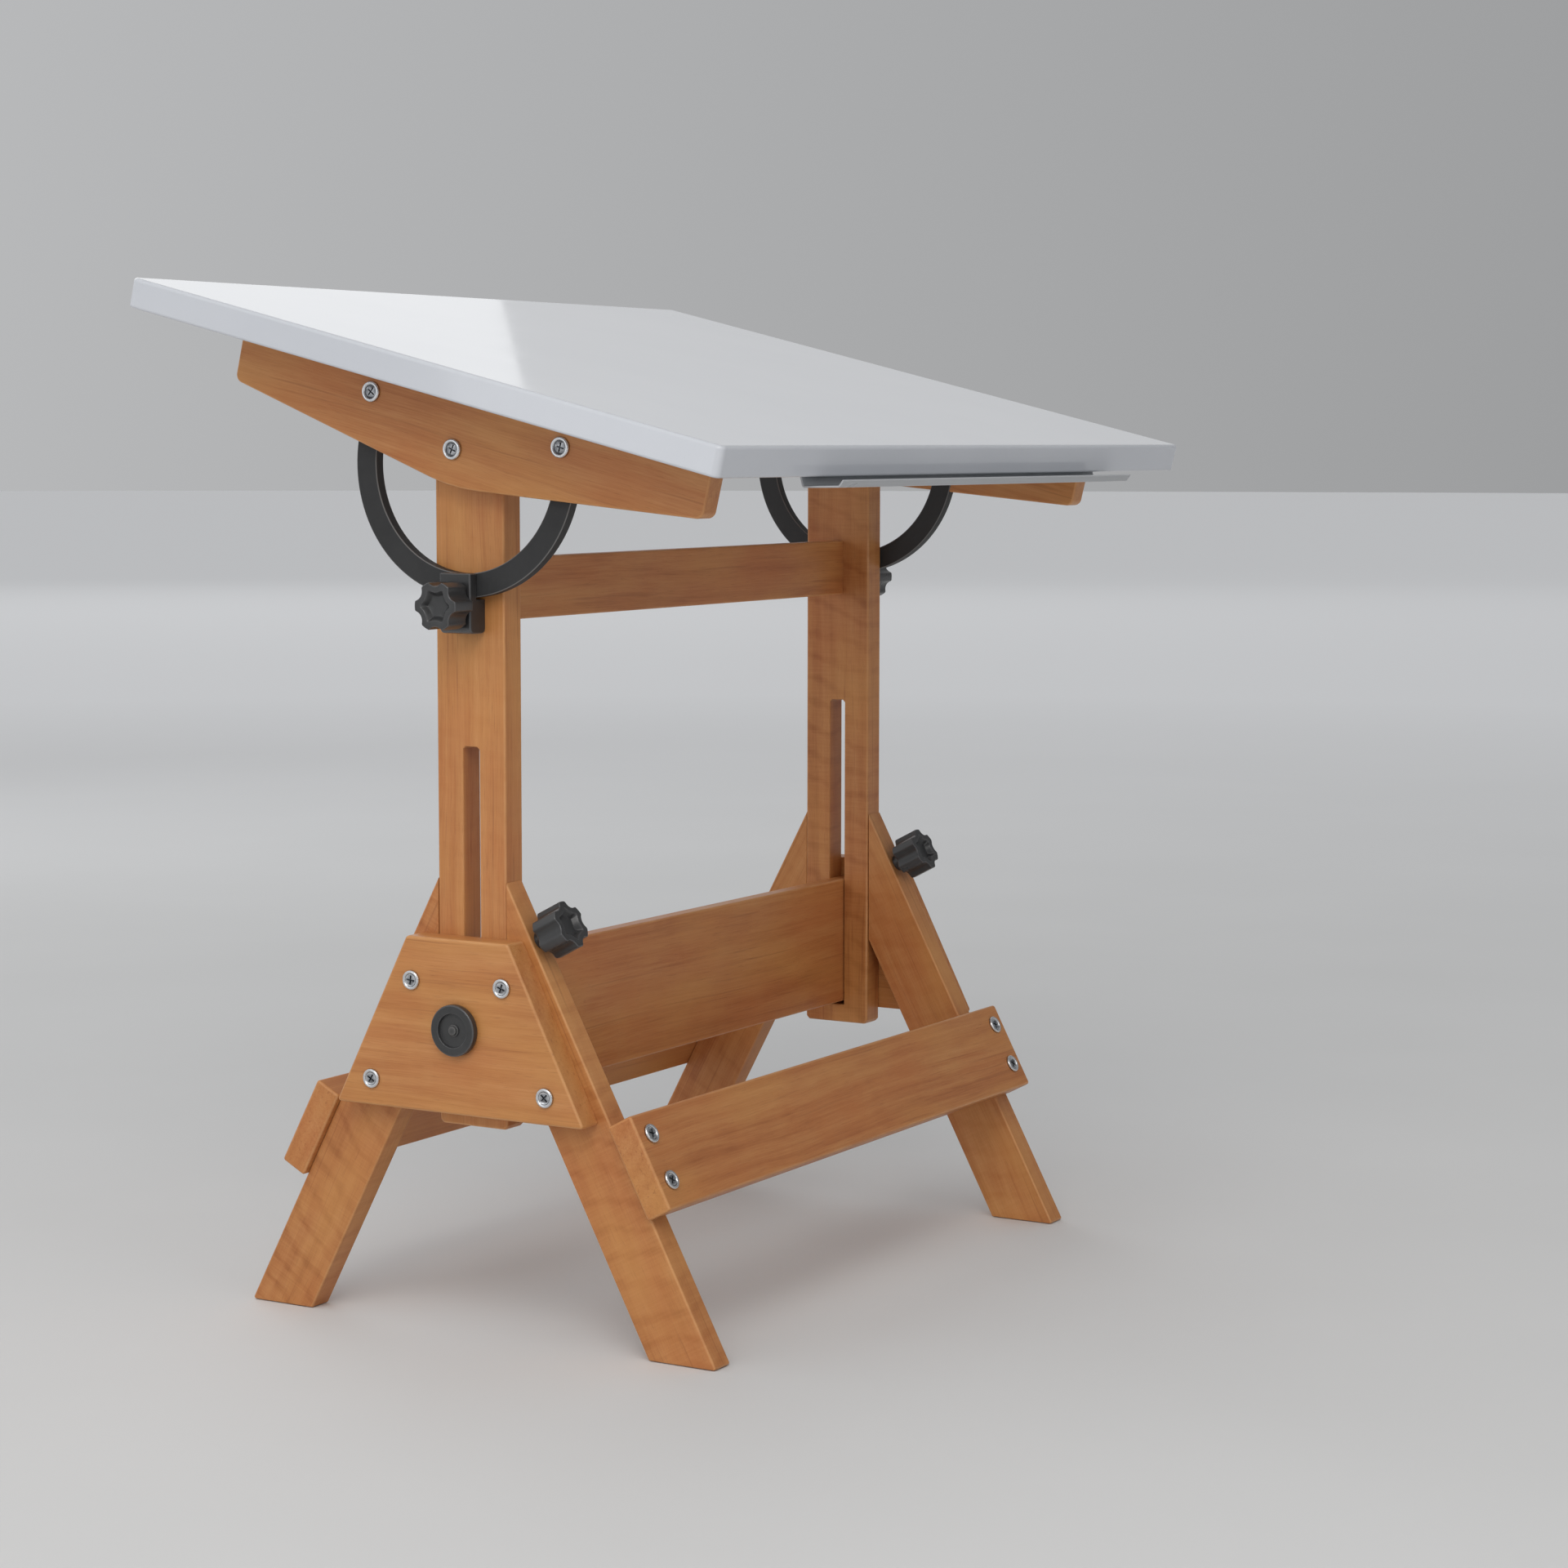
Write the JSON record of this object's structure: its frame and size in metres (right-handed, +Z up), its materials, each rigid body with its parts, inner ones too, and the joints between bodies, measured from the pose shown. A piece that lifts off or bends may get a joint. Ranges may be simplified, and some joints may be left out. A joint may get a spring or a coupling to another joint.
{
  "type": "drafting table",
  "caption": "Tilting drafting board with pencil tray, on a wooden slotted-post frame that slides between splayed legs and is locked by star knobs.",
  "frame": {"origin": "on the floor at the centre of the overall footprint", "axes": "+Z up, +X to the right of the person drawing, -Y towards them; the tilt axis runs along X"},
  "size_m": [1.067, 0.7612, 1.1193],
  "materials": {
    "stained_wood": "satin varnish over warm orange-brown stain",
    "dowel_wood": "plain",
    "board_lacquer": "white lacquer, semi-gloss",
    "tray_plastic": "smooth light grey",
    "dark_plastic": "fine-grained dark grey",
    "dark_metal": "dark grey powder coat",
    "zinc": "bright zinc plate"
  },
  "bodies": {
    "base": {"leg_front_left": "stained_wood", "leg_rear_left": "stained_wood", "leg_front_right": "stained_wood", "leg_rear_right": "stained_wood", "gusset_left": "stained_wood", "gusset_right": "stained_wood", "lower_stretcher": "stained_wood", "front_rail": "stained_wood", "rear_rail": "stained_wood", "gusset_screws": "zinc", "rail_screws": "zinc", "cap_left": "dark_plastic", "cap_right": "dark_plastic", "stretcher_bolts": "dark_metal", "stretcher_inserts": "zinc", "stretcher_dowels": "dowel_wood", "leg_inserts": "zinc"},
    "lift_frame": {"post_left": "stained_wood", "post_right": "stained_wood", "crossbar": "stained_wood", "crossbar_dowels": "dowel_wood", "clamp_left": "dark_plastic", "clamp_right": "dark_plastic", "post_inserts": "zinc", "pivot_bolts": "zinc", "pivot_nuts": "zinc", "pivot_washers": "dark_plastic"},
    "board": {"drawing_board": "board_lacquer", "cleat_left": "stained_wood", "cleat_right": "stained_wood", "arc_left": "dark_metal", "arc_right": "dark_metal", "arc_bolts": "zinc", "arc_nuts": "zinc", "cleat_screws": "zinc", "pencil_tray": "tray_plastic", "tray_screws": "zinc"},
    "arc_knob_left": {"arc_knob_left": "dark_plastic", "arc_stud_left": "zinc"},
    "arc_knob_right": {"arc_knob_right": "dark_plastic", "arc_stud_right": "zinc"},
    "leg_knob_left": {"leg_knob_left": "dark_plastic", "leg_stud_left": "zinc"},
    "leg_knob_right": {"leg_knob_right": "dark_plastic", "leg_stud_right": "zinc"}
  },
  "joints": [
    {"name": "height_slide", "type": "slide", "parent": "base", "child": "lift_frame", "axis": [0, 0, 1], "range_m": [-0.22, 0]},
    {"name": "board_tilt", "type": "hinge", "parent": "lift_frame", "child": "board", "pos_m": [0, 0.03091, 0.939], "axis": [1, 0, 0], "range_deg": [-13.6, 40]},
    {"name": "arc_knob_left_turn", "type": "hinge", "parent": "lift_frame", "child": "arc_knob_left", "pos_m": [-0.4338, 0.03091, 0.77797], "axis": [-1, 0, 0], "continuous": true},
    {"name": "arc_knob_right_turn", "type": "hinge", "parent": "lift_frame", "child": "arc_knob_right", "pos_m": [0.4338, 0.03091, 0.77797], "axis": [1, 0, 0], "continuous": true},
    {"name": "leg_knob_left_turn", "type": "hinge", "parent": "base", "child": "leg_knob_left", "pos_m": [-0.392, -0.04511, 0.42644], "axis": [0, -0.884, 0.4674], "continuous": true},
    {"name": "leg_knob_right_turn", "type": "hinge", "parent": "base", "child": "leg_knob_right", "pos_m": [0.392, -0.04511, 0.42644], "axis": [0, -0.884, 0.4674], "continuous": true}
  ]
}
